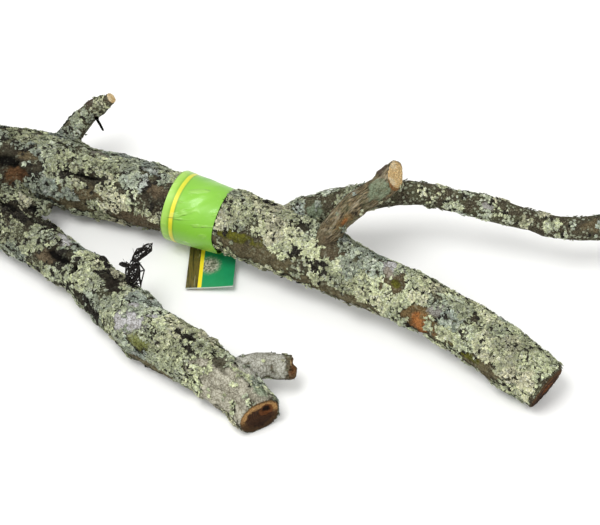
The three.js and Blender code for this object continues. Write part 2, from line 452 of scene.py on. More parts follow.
def end_shares(points, normals, owners):
    """For each sawn end, which points lie on its face, and how far from its middle as a share of
    its radius."""
    found = {}
    for node, end in ENDS.items():
        middle, normal, radius = flat_end(node, end["heading"])
        apart = points - middle
        depth = apart @ normal
        flat = apart - np.multiply.outer(depth, normal)
        away = np.linalg.norm(flat, axis=1) / radius
        on = ease(0.5, 0.85, normals @ normal) * (np.abs(depth) < 2 * MM) * (away < 1.3)
        pith = np.array(end.get("hollow", (0, 0, 0))) * radius
        hollow = np.linalg.norm(flat - (pith - normal * (pith @ normal)), axis=1) / radius
        edge = ease(-5 * MM, -3 * MM, depth) * (away < 1.5) * (owners == WOOD.index(node))
        found[node] = dict(
            on=on, away=away, flat=flat, normal=normal, radius=radius, hollow=hollow, edge=edge)
    return found


skin = grow_skin()
smooth_points = points_of(skin.data)
smooth_normals = normals_of(skin.data)
owners = nearest_nodes(smooth_points)
skin_tree = BVHTree.FromObject(skin, bpy.context.evaluated_depsgraph_get())
mark_places = [COURSES[mark[1]].spot(mark[2], mark[3], skin_tree) for mark in MARKS]
marks = mark_shares(smooth_points, mark_places)
ends = end_shares(smooth_points, smooth_normals, owners)
sawn = np.max([end["on"] for end in ends.values()], axis=0)


def shape_bark():
    """Moves the skin in to the bark's own surface: lumps, long ridges, cracks, marks and ends."""
    points, normals = smooth_points, smooth_normals
    rough = per_node(owners, ROUGHNESS)
    along = unrolled(points, owners)
    lumps = 1.3 * swell(points, 14 * MM, 1) + 0.9 * swell(points, 6 * MM, 2)
    ridges = 0.5 * swell(along, 3.2 * MM, 3) + 0.25 * swell(along, 1.5 * MM, 4)
    cracks = 0.9 * (1 - ease(0, 0.16, np.abs(swell(along, 5 * MM, 7))))
    pits = 0.22 * swell(points, 1.7 * MM, 8)
    rises = np.array([KINDS[mark[0]]["rise"] for mark in MARKS])
    marked = (marks * rises[:, None]).sum(0)
    height = rough * (lumps + ridges - cracks + pits) * MM + marked * MM
    height -= INSET * np.clip(rough + 0.15, 0, 1)
    height += per_node(owners, THICKER) * MM
    height = np.where(under_wrap(points), np.minimum(height, -WRAP_ROOM), height)
    low = ease(0, 7 * MM, points[:, 2])  # the underside stays on the surface that it lies on
    height *= low * (1 - sawn)
    moved = points + normals * height[:, None]
    for node, end in ends.items():
        on = end["on"][:, None]
        shrink = (INSET * (ROUGHNESS[node] + 0.15) - THICKER[node] * MM) / end["radius"]
        rings = 0.12 * np.sin(end["away"] * end["radius"] / RING_WIDTH * 2 * math.pi)
        depth = rings + 0.25 * swell(points, 2.5 * MM, 9)
        rot = ENDS[node]["rot"]
        hollow = 1 - ease(0.12, 0.45, end["hollow"] + 0.2 * swell(points, 5 * MM, 10))
        depth -= rot * (2.2 * hollow + 0.5 * np.abs(swell(points, 4 * MM, 11)))
        if node == TORN:
            prongs = ease(0.25, 0.9, np.abs(end["flat"][:, 2]) / end["radius"])
            depth += 4.0 * prongs - 2.0 + 1.6 * swell(points, 3 * MM, 12)
        moved -= on * end["flat"] * shrink
        moved += on * np.multiply.outer(depth * MM, end["normal"])
    moved[:, 2] = np.maximum(moved[:, 2], 0)
    move_points(skin.data, moved)


shape_bark()
bark_points = points_of(skin.data)
bark_normals = normals_of(skin.data)
bark_triangles = triangles_of(skin.data)


def lichen_share(points, normals, vertices):
    """How likely lichen is to grow at each point, from 0 to 1."""
    share = per_node(owners[vertices], COVER)
    broad = swell(points, 22 * MM, 21) + 0.7 * swell(points, 9 * MM, 22)
    share *= 0.45 + 0.55 * ease(-1.0, -0.2, broad)
    share *= 0.3 + 0.7 * ease(-0.75, -0.1, normals[:, 2])
    share *= 1 - 0.25 * (1 - ease(-0.2, -0.06, points[:, 0]))
    for mark, cover in zip(MARKS, marks[:, vertices]):
        share *= 1 - cover * (1 - KINDS[mark[0]]["lichen"])
    share *= 1 - ease(0.05, 0.3, sawn[vertices])
    for end in ends.values():
        share *= 1 - 0.9 * end["edge"][vertices]
    share *= points[:, 2] > 2.2 * MM
    return share * ~under_wrap(points)


def linear(code):
    """An sRGB hex colour as linear numbers, for a shader's socket."""
    parts = [int(code[i:i + 2], 16) / 255 for i in (1, 3, 5)]
    return [p / 12.92 if p <= 0.04045 else ((p + 0.055) / 1.055) ** 2.4 for p in parts] + [1.0]


def paint_bark():
    """tone: the marks' colour, with painted shade in the crease and darkening marks, and how much it covers.
    sawn: distance from the pith in cm, rot, distance from the end's middle as a share of its radius, and how
    much of the point lies on an
    end. crust: how much lichen grows there, and how fibrous the bark is. run: the place unrolled
    along its limb, in tenths of a metre."""
    count = len(bark_points)
    tone = np.zeros((count, 4))
    tone[:, :3] = linear("#4f493d")[:3]
    for mark, share in zip(MARKS, marks):
        kind = KINDS[mark[0]]
        cover = (share * kind["cover"])[:, None]
        tone[:, :3] = tone[:, :3] * (1 - cover) + np.array(linear(kind["tone"])[:3]) * cover
        tone[:, 3:] = np.maximum(tone[:, 3:], cover)
    paint(skin.data, "tone", tone)
    ends_paint = np.zeros((count, 4))
    for node, end in ends.items():
        mine = end["on"] > ends_paint[:, 3]
        ends_paint[mine, 0] = (end["hollow"] * end["radius"] * 100)[mine]
        ends_paint[mine, 1] = ENDS[node]["rot"]
        ends_paint[mine, 2] = end["away"][mine]
        ends_paint[mine, 3] = end["on"][mine]
    paint(skin.data, "sawn", ends_paint)
    crust = np.zeros((count, 4))
    crust[:, 0] = lichen_share(bark_points, smooth_normals, np.arange(count))
    crust[:, 1] = per_node(owners, FIBROUS)
    paint(skin.data, "crust", crust)
    run = np.ones((count, 4))
    run[:, :3] = unrolled(bark_points, owners, 0.2) * 10
    paint(skin.data, "run", run)


paint_bark()


def part_bark():
    """One closed piece of bark for each wooden node, cut from the skin."""
    mesh = skin.data
    quads = [tuple(face.vertices) for face in mesh.polygons]
    owner_of_face = np.array([owners[face[0]] for face in quads])
    layers = {}
    for name in ("tone", "sawn", "crust", "run"):
        flat = np.empty(len(mesh.vertices) * 4, np.float32)
        mesh.attributes[name].data.foreach_get("color", flat)
        layers[name] = flat.reshape(-1, 4)
    pieces = {}
    for number, node in enumerate(WOOD):
        mine = [quads[i] for i in np.nonzero(owner_of_face == number)[0]]
        used = np.unique(np.concatenate([np.array(face) for face in mine]))
        renamed = np.full(len(mesh.vertices), -1)
        renamed[used] = np.arange(len(used))
        faces = [tuple(int(renamed[v]) for v in face) for face in mine]
        piece = new_piece(f"{node}_bark", bark_points[used], faces)
        for name, values in layers.items():
            paint(piece.data, name, values[used])
        shape = bmesh.new()
        shape.from_mesh(piece.data)
        bmesh.ops.holes_fill(shape, edges=[edge for edge in shape.edges if edge.is_boundary], sides=0)
        bmesh.ops.recalc_face_normals(shape, faces=shape.faces)
        if shape.calc_volume(signed=True) < 0:
            bmesh.ops.reverse_faces(shape, faces=shape.faces)
        shape.to_mesh(piece.data)
        shape.free()
        piece.data.polygons.foreach_set("use_smooth", [True] * len(piece.data.polygons))
        piece.data.normals_split_custom_set_from_vertices([Vector(n) for n in bark_normals[used]])
        pieces[node] = piece
    bpy.data.objects.remove(skin)
    return pieces


bark_tree = BVHTree.FromPolygons(
    [Vector(p) for p in bark_points], [tuple(map(int, t)) for t in bark_triangles]
)
bark_pieces = part_bark()


# ------------------------------------------------------------------ the lichen
LOBE_TURNS = np.radians([0, 24, 46, 88, 140, 220, 272, 314, 336])
LOBE_REACH = np.array([0.7, 0.36, 0.62, 0.46, 0.3, 0.3, 0.46, 0.62, 0.36])
LOBE_SIZE = 3.7 * MM
LOBE_SPACING = 1.35 * MM
PATCH_SIZE = 11 * MM  # between the middles of the rosettes
LOBE_TRIES = 260000  # places on the bark that are tried for a lobe
PATCH_TRIES = 30000  # how many of those that grow are tried for a rosette's middle


def scatter(count):
    """Even random points on the bark, with their normals and the number of the bark vertex."""
    corners = bark_points[bark_triangles]
    first, second = corners[:, 1] - corners[:, 0], corners[:, 2] - corners[:, 0]
    areas = np.linalg.norm(np.cross(first, second), axis=1)
    picked = draw.choice(len(areas), count, p=areas / areas.sum())
    u, v = draw.random((2, count))
    flip = u + v > 1
    u[flip], v[flip] = 1 - u[flip], 1 - v[flip]
    weights = np.stack([1 - u - v, u, v], 1)[:, :, None]
    points = (corners[picked] * weights).sum(1)
    normals = unit((smooth_normals[bark_triangles[picked]] * weights).sum(1))
    return points, normals, bark_triangles[picked, 0]


def spaced(points, gap):
    """Numbers of the points that are kept so that no two lie closer than the gap."""
    cells, kept = {}, []
    keys = np.floor(points / gap).astype(int)
    around = list(product((-1, 0, 1), repeat=3))
    for number, (point, key) in enumerate(zip(points.tolist(), keys.tolist())):
        near = (
            other
            for dx, dy, dz in around
            for other in cells.get((key[0] + dx, key[1] + dy, key[2] + dz), ())
        )
        if all(math.dist(point, other) >= gap for other in near):
            cells.setdefault(tuple(key), []).append(point)
            kept.append(number)
    return np.array(kept)


def nearest_two(points, centres):
    """Distance to the nearest centre, to the second nearest, and the number of the nearest."""
    tree = KDTree(len(centres))
    for number, centre in enumerate(centres):
        tree.insert(Vector(centre), number)
    tree.balance()
    rows = [tree.find_n(Vector(point), 2) for point in points]
    first = np.array([row[0][2] for row in rows])
    second = np.array([row[1][2] for row in rows])
    return first, second, np.array([row[0][1] for row in rows])


def grow_lichen():
    """Leafy lichen in rosettes: lobes that radiate from each rosette's middle, lifted at their
    tips, each a closed lens of its own. They lie in layers: the upper ones stand free over the
    bark, by up to about 1 mm, with other lobes below them."""
    points, normals, vertices = scatter(LOBE_TRIES)
    ground = 0.5 + 0.62 * swell(points, 7 * MM, 27) + 0.3 * swell(points, 2.6 * MM, 28)
    ground = np.clip(0.8 * ground + 0.2 * draw.random(len(points)), 0, 1)
    wanted = ground < lichen_share(points, normals, vertices)
    points, normals, vertices = points[wanted], normals[wanted], vertices[wanted]
    centres = points[spaced(points[:PATCH_TRIES], PATCH_SIZE)]
    kept = spaced(points, LOBE_SPACING)
    points, normals, vertices = points[kept], normals[kept], vertices[kept]
    first, second, patch = nearest_two(points, centres)
    kept = second - first > 0.7 * MM * (1 + swell(points, 4 * MM, 23))
    points, normals, vertices = points[kept], normals[kept], vertices[kept]
    first, patch = first[kept], patch[kept]
    count = len(points)
    patch_kind = 0.4 + 0.55 * swell(centres, 26 * MM, 24) + draw.normal(0, 0.1, len(centres))
    patch_shade = 0.55 + 0.35 * swell(centres, 30 * MM, 26) + draw.normal(0, 0.08, len(centres))
    patch_size = draw.uniform(0.8, 1.35, len(centres))
    outward = points - centres[patch] + draw.normal(0, 1.6 * MM, (count, 3))
    outward = unit(outward - normals * (outward * normals).sum(1)[:, None])
    sideways = np.cross(normals, outward)
    size = LOBE_SIZE * patch_size[patch] * draw.uniform(0.75, 1.2, count)
    size *= 0.7 + 0.3 * np.clip(per_node(owners[vertices], ROUGHNESS), 0, 1)
    narrow = draw.uniform(0.7, 1.0, count)
    reach = LOBE_REACH * draw.uniform(0.78, 1.2, (count, len(LOBE_REACH)))
    turns = LOBE_TURNS + draw.uniform(-0.12, 0.12, (count, len(LOBE_TURNS)))
    ahead = reach * np.cos(turns) * size[:, None]
    aside = reach * np.sin(turns) * (size * narrow)[:, None]
    rim = points[:, None] + ahead[:, :, None] * outward[:, None] + aside[:, :, None] * sideways[:, None]
    layer = draw.uniform(0.1, 0.9, count) + 0.6 * (1 - ease(0, PATCH_SIZE * 0.7, first))
    front = (1 + np.cos(turns)) / 2
    lift = layer[:, None] + draw.uniform(0.3, 1.1, count)[:, None] * front
    lift = (lift + draw.uniform(-0.25, 0.3, lift.shape)) * MM
    lift *= np.clip(0.35 + 0.65 * per_node(owners[vertices], ROUGHNESS), 0, 1)[:, None]
    low = ease(0, 8 * MM, points[:, 2])
    lift = np.maximum(lift, 0.05 * MM) * (0.3 + 0.7 * low[:, None])
    sides = len(LOBE_TURNS)
    ring = np.empty((count, sides, 3))
    for number, corners in enumerate(rim):
        for side, corner in enumerate(corners):
            place, normal, _, _ = bark_tree.find_nearest(Vector(corner))
            ring[number, side] = place + normal * lift[number, side]
    top = points + normals * ((layer + 0.1) * MM)[:, None]
    base = points + normals * ((layer - 0.45) * MM)[:, None]
    shape = np.concatenate([ring, top[:, None], base[:, None]], axis=1)
    shape[:, :, 2] = np.maximum(shape[:, :, 2], 0)
    around = np.arange(sides)
    after = np.roll(around, -1)
    upper = np.stack([around, after, np.full(sides, sides)], 1)
    under = np.stack([after, around, np.full(sides, sides + 1)], 1)
    lobe = np.concatenate([upper, under])
    growth = np.empty((count, sides + 2, 4))
    toward_butt = 1 - ease(-0.2, -0.04, points[:, 0])
    growth[:, :, 0] = (patch_kind[patch] + draw.normal(0, 0.06, count))[:, None]
    shade = patch_shade[patch] - 0.45 * toward_butt + 0.35 * swell(points, 5 * MM, 29) - 0.03
    growth[:, :, 1] = (shade + draw.normal(0, 0.22, count))[:, None]
    # Channel 2 is how far toward the lobe's free tip each corner lies, 0.4 at its middle. The material
    # paints shade from it, darkest at the lobe's back, where it tucks under its neighbours.
    growth[:, :sides, 2] = front
    growth[:, sides:, 2] = 0.4
    # Lobes on the black marks are dead ones. Lobes on the darkening marks by the fork are painted black as
    # shade.
    black_and_shaded_marks = [share for share, mark in zip(marks, MARKS) if mark[0] in ("black", "painted_shade")]
    black_and_shaded_places = np.max(black_and_shaded_marks, axis=0)
    speckled = ease(0.15, 0.6, swell(points, 9 * MM, 25)) * ease(0.0, 0.5, swell(points, 2.5 * MM, 30))
    dark = draw.random(count) < 0.05 + 0.1 * toward_butt + 0.8 * black_and_shaded_places[vertices] + 0.4 * speckled
    growth[:, :, 3] = dark[:, None]
    pieces = {}
    groups = {
        "butt_lichen": ["butt"],
        "upper_limb_lichen": ["upper_limb"],
        "lower_limb_lichen": ["lower_limb"],
        "shoots_lichen": ["top_stub", "side_twig", "sawn_spur", "split_stub"],
    }
    for name, nodes in groups.items():
        mine = np.isin(owners[vertices], [WOOD.index(node) for node in nodes])
        total = int(mine.sum())
        faces = (lobe[None] + (np.arange(total) * (sides + 2))[:, None, None]).reshape(-1, 3)
        piece = new_piece(name, shape[mine].reshape(-1, 3).tolist(), faces.tolist(), smooth=False)
        paint(piece.data, "growth", growth[mine].reshape(-1, 4))
        pieces[name] = piece
    return pieces


lichen_pieces = grow_lichen()


# ------------------------------------------------------------------ the label
CARD = 0.6 * MM
LAP_TURN = math.radians(200)  # behind and below, where the strip's ends meet
TURNS = 1.03  # how far the strip goes round, with its lap
DRAPE_TURN = 108  # degrees: where the wrap's edge sags, at the front and below
DRAPE_SPREAD = 16
DRAPE = 3.0 * MM
YELLOW_FROM, YELLOW_TO = 0.25, 0.33  # the free end's yellow line, as shares of its width
ROUND_ACROSS, ROUND_DOWN = 18.0, 30.0  # mm: the middle of the free end's grey round
ROUND_SIZE = (7.0, 14.0)  # mm: where it begins to fade, and where it is gone
CUT_EDGE = 0.7  # mm of pale board along the free end's lower edge
UPPER_BACK = np.array((0, 0.766, 0.643))  # the side of the wrap that turns away, where its card is painted bluish grey as shade
TAG_ACROSS = (0.99, -0.055, 0.124)  # the way the card's free end lies, as its CAD node does


def sheet_of(name, columns, rows, shape):
    """A grid of that many faces, put in place by shape(u, v), with u and v from 0 to 1 as its UV map."""
    bpy.ops.object.select_all(action="DESELECT")
    bpy.ops.mesh.primitive_grid_add(x_subdivisions=columns, y_subdivisions=rows, size=1)
    piece = bpy.context.object
    piece.name = piece.data.name = name
    flat = points_of(piece.data)
    u, v = flat[:, 0] + 0.5, flat[:, 1] + 0.5
    move_points(piece.data, shape(u, v))
    return piece


def print_on(piece, place):
    """Gives the card's faces the UV place(points) returns, in mm across and along the print."""
    mesh = piece.data
    while mesh.uv_layers:
        mesh.uv_layers.remove(mesh.uv_layers[0])
    layer = mesh.uv_layers.new(name="print")
    across = place(points_of(mesh))
    corners = np.empty(len(mesh.loops), np.int32)
    mesh.loops.foreach_get("vertex_index", corners)
    layer.data.foreach_set("uv", across[corners].ravel())


def band_sheet():
    """The wrap: a strip of card bent round the limb, its end lapped over its start, lightly creased."""
    front = unit(np.array((0, -1, 0)) - band_axis * -band_axis[1])
    above = np.cross(band_axis, front)
    above = above if above[2] > 0 else -above

    def wrap(u, v):
        turn = LAP_TURN + v * 2 * math.pi * TURNS
        height = (u * 2 - 1) * band_half
        drape = np.exp(-((np.degrees(turn) % 360 - DRAPE_TURN) / DRAPE_SPREAD) ** 2)
        height = height + ease(0.6, 1, u) * drape * DRAPE
        height = height + 0.35 * MM * np.sin(3 * turn) * np.abs(u * 2 - 1)
        radius = band_start + (band_end - band_start) * u - 0.75 * CARD
        place = np.multiply.outer(height, band_axis)
        outward = np.multiply.outer(np.cos(turn), above) + np.multiply.outer(np.sin(turn), front)
        around = turn * band_start
        slant = np.stack([height * 0.8 + around * 0.6, (height * 0.6 - around * 0.8) * 0.22, 0 * turn], 1)
        crumpled = ease(-0.4, 0.5, swell(np.stack([height, around, 0 * turn], 1), 22 * MM, 33))
        creases = 0.4 * swell(slant, 12 * MM, 31) + 0.8 * crumpled * swell(slant, 5.5 * MM, 32)
        radius = radius + 1.25 * creases * MM - 0.3 * MM
        radius = radius + 0.7 * MM * ease(0.96, 1.0, v)
        return band_middle + place + outward * radius[:, None]

    band = sheet_of("label_wrap", 40, 220, wrap)
    apply_modifier(band, "SOLIDIFY", thickness=CARD * 0.6, offset=0)
    close_faces(band)
    print_on(band, lambda points: np.stack([
        ((points - band_middle) @ band_axis + band_half) / MM,
        (points - band_middle) @ UPPER_BACK / MM,
    ], 1))
    return band


def close_faces(piece):
    activate(piece)
    bpy.ops.object.mode_set(mode="EDIT")
    bpy.ops.mesh.select_all(action="SELECT")
    bpy.ops.mesh.normals_make_consistent(inside=False)
    bpy.ops.object.mode_set(mode="OBJECT")
    bpy.ops.object.shade_smooth_by_angle(angle=math.radians(40))


def tag_sheet():
    """The strip's free end, a slightly cupped tongue that shows from under the wrap, with its width
    and length in mm."""
    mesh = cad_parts["label_tag"].data
    _, face, _ = flat_end("label_tag", (0, 0, 1))
    across = unit(np.array(TAG_ACROSS) - face * (np.array(TAG_ACROSS) @ face))
    away = np.cross(across, face)
    away = away if away[1] < 0 else -away
    corners = points_of(mesh)
    middle = corners.mean(0)
    sides, ends, depths = ((corners - middle) @ way for way in (across, away, face))
    size = np.array([np.ptp(sides), np.ptp(ends)])
    start = middle + across * sides.min() + away * ends.min() + face * (depths.min() + depths.max()) / 2

    def lie(u, v):
        cup = 0.5 * MM * ((2 * u - 1) ** 2 - 0.5) * v + 0.6 * MM * ease(0.6, 1, v) * (u - 0.4)
        return start + np.multiply.outer(u * size[0], across) + np.multiply.outer(v * size[1], away) \
            + np.multiply.outer(cup, face)

    tag = sheet_of("label_tongue", 40, 48, lie)
    apply_modifier(tag, "SOLIDIFY", thickness=CARD * 1.2, offset=0)
    apply_modifier(tag, "BEVEL", width=0.15 * MM, segments=1, angle_limit=math.radians(60))
    close_faces(tag)
    print_on(tag, lambda points: np.stack([
        (points - start) @ across / MM, (points - start) @ away / MM,
    ], 1))
    return tag, size[0] / MM, size[1] / MM


label_wrap = band_sheet()
label_tongue, tongue_width, tongue_length = tag_sheet()


# ------------------------------------------------------------------ the dried tuft
TUFT_STRAND = 1.25 * MM
SPINES = 60  # short ones on the foot
FAN_SPINES = 16
STALKS = 7  # long ones from the foot to the fan
CURL_FROM_FOOT = np.array((-6.5, 0, 12)) * MM
ROOTED = 6 * MM  # how far the tuft's foot goes down into the bark


def tuft_cage(name, middle, size, tilt, seed, drop):
    """A lacy cage of dry strands: the edges of a ball whose corners are drawn about at random."""
    bpy.ops.object.select_all(action="DESELECT")
    bpy.ops.mesh.primitive_ico_sphere_add(subdivisions=2, radius=1)
    cage = bpy.context.object
    cage.name = name
    points = points_of(cage.data)
    own = np.random.default_rng(seed)
    points = points + own.normal(0, 0.12, points.shape)
    points *= 1 + 0.22 * swell(points, 0.6, seed)[:, None]
    points *= np.array(size)
    cos, sin = math.cos(tilt), math.sin(tilt)
    turn = np.array([[cos, 0, sin], [0, 1, 0], [-sin, 0, cos]])
    move_points(cage.data, points @ turn.T + middle)
    shape = bmesh.new()
    shape.from_mesh(cage.data)
    edges = [edge for edge in shape.edges if own.random() < drop]
    bmesh.ops.dissolve_edges(shape, edges=edges, use_verts=False)
    shape.to_mesh(cage.data)
    shape.free()
    apply_modifier(cage, "WIREFRAME", thickness=TUFT_STRAND, use_even_offset=False)
    return cage


def strand(path, start_width, end_width, sides=5):
    """A closed tapering tube along the path's points, as points and faces."""
    path = np.asarray(path)
    ways = unit(np.gradient(path, axis=0))
    across = unit(np.cross(ways, (0.3, 0.5, 0.81)))
    third = np.cross(ways, across)
    widths = np.linspace(start_width, end_width, len(path)) / 2
    turns = np.arange(sides) * 2 * math.pi / sides
    ring = across[:, None] * np.cos(turns)[None, :, None]
    ring = ring + third[:, None] * np.sin(turns)[None, :, None]
    points = (path[:, None] + ring * widths[:, None, None]).reshape(-1, 3)
    faces = []
    for i in range(len(path) - 1):
        for j in range(sides):
            k = (j + 1) % sides
            faces.append((i * sides + j, i * sides + k, (i + 1) * sides + k, (i + 1) * sides + j))
    faces.append(tuple(reversed(range(sides))))
    faces.append(tuple(range((len(path) - 1) * sides, len(path) * sides)))
    return points, faces


def spines(name, roots, ways, lengths, seed, width=0.6 * MM):
    """Short curved dry spines from the roots, joined in one mesh."""
    own = np.random.default_rng(seed)
    points, faces, start = [], [], 0
    for root, way, length in zip(roots, ways, lengths):
        share = np.linspace(0, 1, 5)[:, None]
        bend = own.normal(0, 0.25, 3) * length
        path = root + way * length * share + bend * share ** 2
        more, sides = strand(path, width, width * 0.25)
        points.append(more)
        faces += [tuple(corner + start for corner in side) for side in sides]
        start += len(more)
    return new_piece(name, np.concatenate(points), faces)


def join_pieces(pieces, name):
    activate(*pieces)
    bpy.ops.object.join()
    pieces[0].name = pieces[0].data.name = name
    return pieces[0]


def grow_tuft():
    """The black tuft on the lower limb: a cage at its foot, with a curl, and an open fan above it."""
    low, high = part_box("dried_tuft")
    skin = points_of(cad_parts["dried_tuft"].data)

    def ring(start, end):
        share = (skin[:, 2] - low[2]) / (high[2] - low[2])
        near = skin[(share >= start) & (share <= end)]
        return (near.min(0) + near.max(0)) / 2, (near.max(0) - near.min(0)) / 2

    foot, foot_size = ring(0.1, 0.62)
    foot = foot - np.array((0, 0, ROOTED / 2))
    foot_size = foot_size + np.array((0, 0, ROOTED / 2))
    neck = ring(0.55, 0.62)[0]
    tip = ring(0.9, 1.0)[0]
    rise = tip - neck
    fan = (neck + tip) / 2
    fan_size = np.array((np.linalg.norm(rise) / 2 + 2.5 * MM, 1.6 * MM, 4.2 * MM))
    curl = foot + CURL_FROM_FOOT
    cages = [
        tuft_cage("tuft_foot", foot, foot_size * (1.1, 1.0, 1.0), 0.1, 51, 0.1),
        tuft_cage("tuft_heart", foot, foot_size * (0.65, 0.6, 0.85), 0.3, 52, 0.0),
        tuft_cage("tuft_curl", curl, np.array((3.4, 1.4, 1.5)) * MM, 0.5, 56, 0.2),
        tuft_cage("tuft_fan", fan, fan_size, -math.atan2(rise[2], rise[0]), 55, 0.15),
    ]
    own = np.random.default_rng(53)
    roots, ways, lengths = [], [], []
    for middle, size, number, cage in (
        (foot, foot_size, SPINES, cages[0]),
        (fan, fan_size * 0.6, FAN_SPINES, cages[3]),
    ):
        strands = points_of(cage.data)
        for _ in range(number):
            way = unit(own.normal(0, 1, 3))
            place = middle + way * size * 0.9
            near = strands[np.argmin(np.linalg.norm(strands - place, axis=1))]
            roots.append(near - way * TUFT_STRAND / 4)  # each spine starts inside a strand
            ways.append(unit(way + own.normal(0, 0.5, 3)))
            lengths.append(own.uniform(0.8, 2.0) * MM)
    for _ in range(STALKS):
        root = foot + own.normal(0, 1.0 * MM, 3) + np.array((0, 0, foot_size[2] * 0.6))
        roots.append(root)
        ways.append(unit(fan - root))
        lengths.append(np.linalg.norm(fan - root))
    roots.append(foot)  # the stalk that holds the curl
    ways.append(unit(curl - foot))
    lengths.append(np.linalg.norm(curl - foot) + 2 * MM)
    cages.append(spines("tuft_spines", np.array(roots), np.array(ways), lengths, 54, 0.75 * MM))
    return join_pieces(cages, "dried_tuft_lace")


# Where the bark carries a small black tuft: limb, along, turn and half its size in mm.
SMALL_TUFTS = [
    ("stem", 0.602, -44, 2.4), ("stem", 0.614, -44, 1.8), ("lower", 0.50, -40, 3.2),
    ("lower", 0.515, -34, 2.6), ("lower", 0.60, -40, 2.0),
]


def grow_small_tufts():
    cages = []
    for number, (limb, along, turn, size) in enumerate(SMALL_TUFTS):
        place = COURSES[limb].spot(along, turn, bark_tree)[0]
        shape = np.array((1.3, 0.9, 0.9)) * size * MM
        cages.append(tuft_cage(f"small_tuft_{number}", place, shape, 0.4 * number, 60 + number, 0.1))
    return join_pieces(cages, "small_black_tufts")


tuft = grow_tuft()
small_tufts = grow_small_tufts()


# ------------------------------------------------------------------ materials
def new_material(name):
    material = bpy.data.materials.new(name)
    material.use_nodes = True
    material.node_tree.nodes.clear()
    return material, material.node_tree


def add(tree, kind, links=None, **settings):
    """Adds a node, sets its properties and input values, and links sockets into its inputs."""
    node = tree.nodes.new(kind)
    inputs = settings.pop("inputs", {})
    for name, value in settings.items():
        setattr(node, name, value)
    for name, value in inputs.items():
        node.inputs[name].default_value = value
    for name, source in (links or {}).items():
        tree.links.new(source, node.inputs[name])
    return node


def ramp(tree, source, stops, interpolation="LINEAR"):
    """A colour ramp with stops {position: hex colour}."""
    node = add(tree, "ShaderNodeValToRGB", {"Fac": source})
    node.color_ramp.interpolation = interpolation
    elements = node.color_ramp.elements
    while len(elements) < len(stops):
        elements.new(0.5)
    for element, (position, code) in zip(elements, sorted(stops.items())):
        element.position = position
        element.color = linear(code)
    return node.outputs["Color"]


def mix(tree, share, first, second, blend="MIX"):
    node = add(tree, "ShaderNodeMix", data_type="RGBA", blend_type=blend, clamp_result=True)
    for socket, value in ((node.inputs[0], share), (node.inputs[6], first), (node.inputs[7], second)):
        if isinstance(value, bpy.types.NodeSocket):
            tree.links.new(value, socket)
        elif isinstance(value, str):
            socket.default_value = linear(value)
        else:
            socket.default_value = value
    return node.outputs[2]


def maths(tree, operation, first, second=0.0, clamp=False):
    node = add(tree, "ShaderNodeMath", operation=operation, use_clamp=clamp)
    for socket, value in zip(node.inputs, (first, second)):
        if isinstance(value, bpy.types.NodeSocket):
            tree.links.new(value, socket)
        else:
            socket.default_value = value
    return node.outputs[0]


def stretch(tree, source, low, high, to_low=0.0, to_high=1.0):
    node = add(
        tree, "ShaderNodeMapRange", {"Value": source}, interpolation_type="SMOOTHSTEP",
        inputs={"From Min": low, "From Max": high, "To Min": to_low, "To Max": to_high},
    )
    return node.outputs["Result"]


def times(tree, first, second):
    return maths(tree, "MULTIPLY", first, second)


def plus(tree, first, second):
    return maths(tree, "ADD", first, second)


def object_place(tree):
    return add(tree, "ShaderNodeTexCoord").outputs["Object"]


def noise(tree, size, detail=3.0, roughness=0.6, place=None):
    """Noise whose features are about that size, in metres."""
    place = place or object_place(tree)
    node = add(
        tree, "ShaderNodeTexNoise", {"Vector": place},
        inputs={"Scale": 1 / size, "Detail": detail, "Roughness": roughness},
    )
    return node.outputs["Fac"]


def finish_material(tree, colour, roughness, height=None, depth=0.0, **fixed):
    shader = add(tree, "ShaderNodeBsdfPrincipled")
    for name, value in fixed.items():
        shader.inputs[name].default_value = value
    for name, value in (("Base Color", colour), ("Roughness", roughness)):
        if isinstance(value, bpy.types.NodeSocket):
            tree.links.new(value, shader.inputs[name])
        else:
            shader.inputs[name].default_value = value
    if height is not None:
        bump = add(tree, "ShaderNodeBump", {"Height": height}, inputs={"Distance": depth, "Strength": 1.0})
        tree.links.new(bump.outputs["Normal"], shader.inputs["Normal"])
    output = add(tree, "ShaderNodeOutputMaterial")
    tree.links.new(shader.outputs["BSDF"], output.inputs["Surface"])


DULL = {"Specular IOR Level": 0.1}  # dry bark, lichen and fibre hardly shine


LIMB_MIDDLE = 18 * MM  # height of the sawn ends' middles


def upward(tree):
    """Height over the middle of a lying limb, in metres."""
    height = add(tree, "ShaderNodeSeparateXYZ", {"Vector": object_place(tree)}).outputs["Z"]
    return maths(tree, "SUBTRACT", height, LIMB_MIDDLE)


def attribute(tree, name):
    """The outputs that give what paint stored under that name."""
    return add(tree, "ShaderNodeAttribute", attribute_name=name).outputs


def channels(tree, colour):
    return add(tree, "ShaderNodeSeparateColor", {"Color": colour}).outputs


def printed(tree):
    """The place on the card's print as a vector, and in mm across and along it."""
    place = add(tree, "ShaderNodeUVMap", uv_map="print").outputs["UV"]
    across, along, _ = add(tree, "ShaderNodeSeparateXYZ", {"Vector": place}).outputs
    return place, across, along


